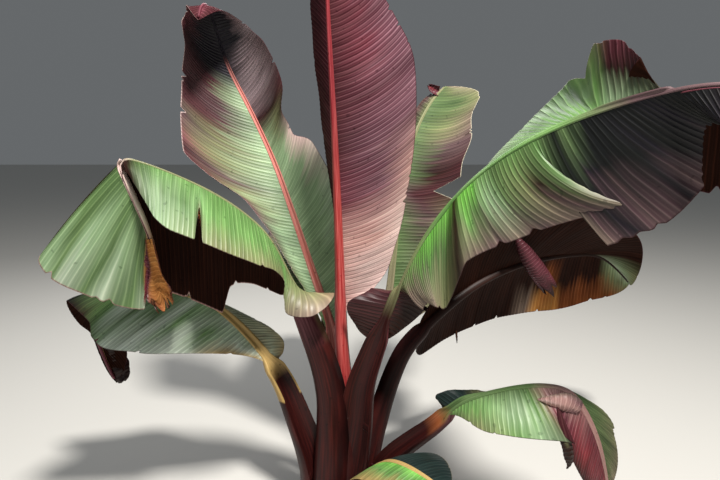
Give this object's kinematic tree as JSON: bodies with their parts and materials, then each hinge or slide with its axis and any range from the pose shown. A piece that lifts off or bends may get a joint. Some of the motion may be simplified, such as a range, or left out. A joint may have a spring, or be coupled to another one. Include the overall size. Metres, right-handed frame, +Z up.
{
  "type": "red abyssinian banana plant",
  "caption": "Large-leaved plant rooted in the ground: a clasped stem of leaf bases and a crown of broad arching paddle leaves, green above and deep red beneath.",
  "frame": {"origin": "foot of the stem on the level ground, at the middle of its flat cut", "axes": "+Z up along the stem, -Y towards the side that the picture shows, +X to its right"},
  "size_m": [1.8816, 1.5867, 1.5832],
  "materials": {
    "stem": "smooth waxy leaf bases, dark burgundy, satin",
    "stalk": "channelled leaf stalks, deep burgundy, satin",
    "midrib": "round midribs, red to tan, satin",
    "leaf_upper": "upper leaf side, green with burgundy flush between fine pale veins, waxy gloss",
    "leaf_under": "under side of the leaf, burgundy with pale pink veins, satin",
    "leaf_dry": "dry torn margins and crumpled pieces, orange brown, matt"
  },
  "bodies": {
    "root": {"pseudostem": "stem", "leaf_tall_left": "leaf_upper", "leaf_upright": "leaf_under", "leaf_folded_left": "leaf_upper", "leaf_low_left": "leaf_upper", "leaf_back_right": "leaf_upper", "leaf_great_right": "leaf_upper", "leaf_under_right": "leaf_under", "leaf_low_right": "leaf_upper", "leaf_young_front": "leaf_upper", "leaf_back": "leaf_upper"}
  },
  "joints": []
}
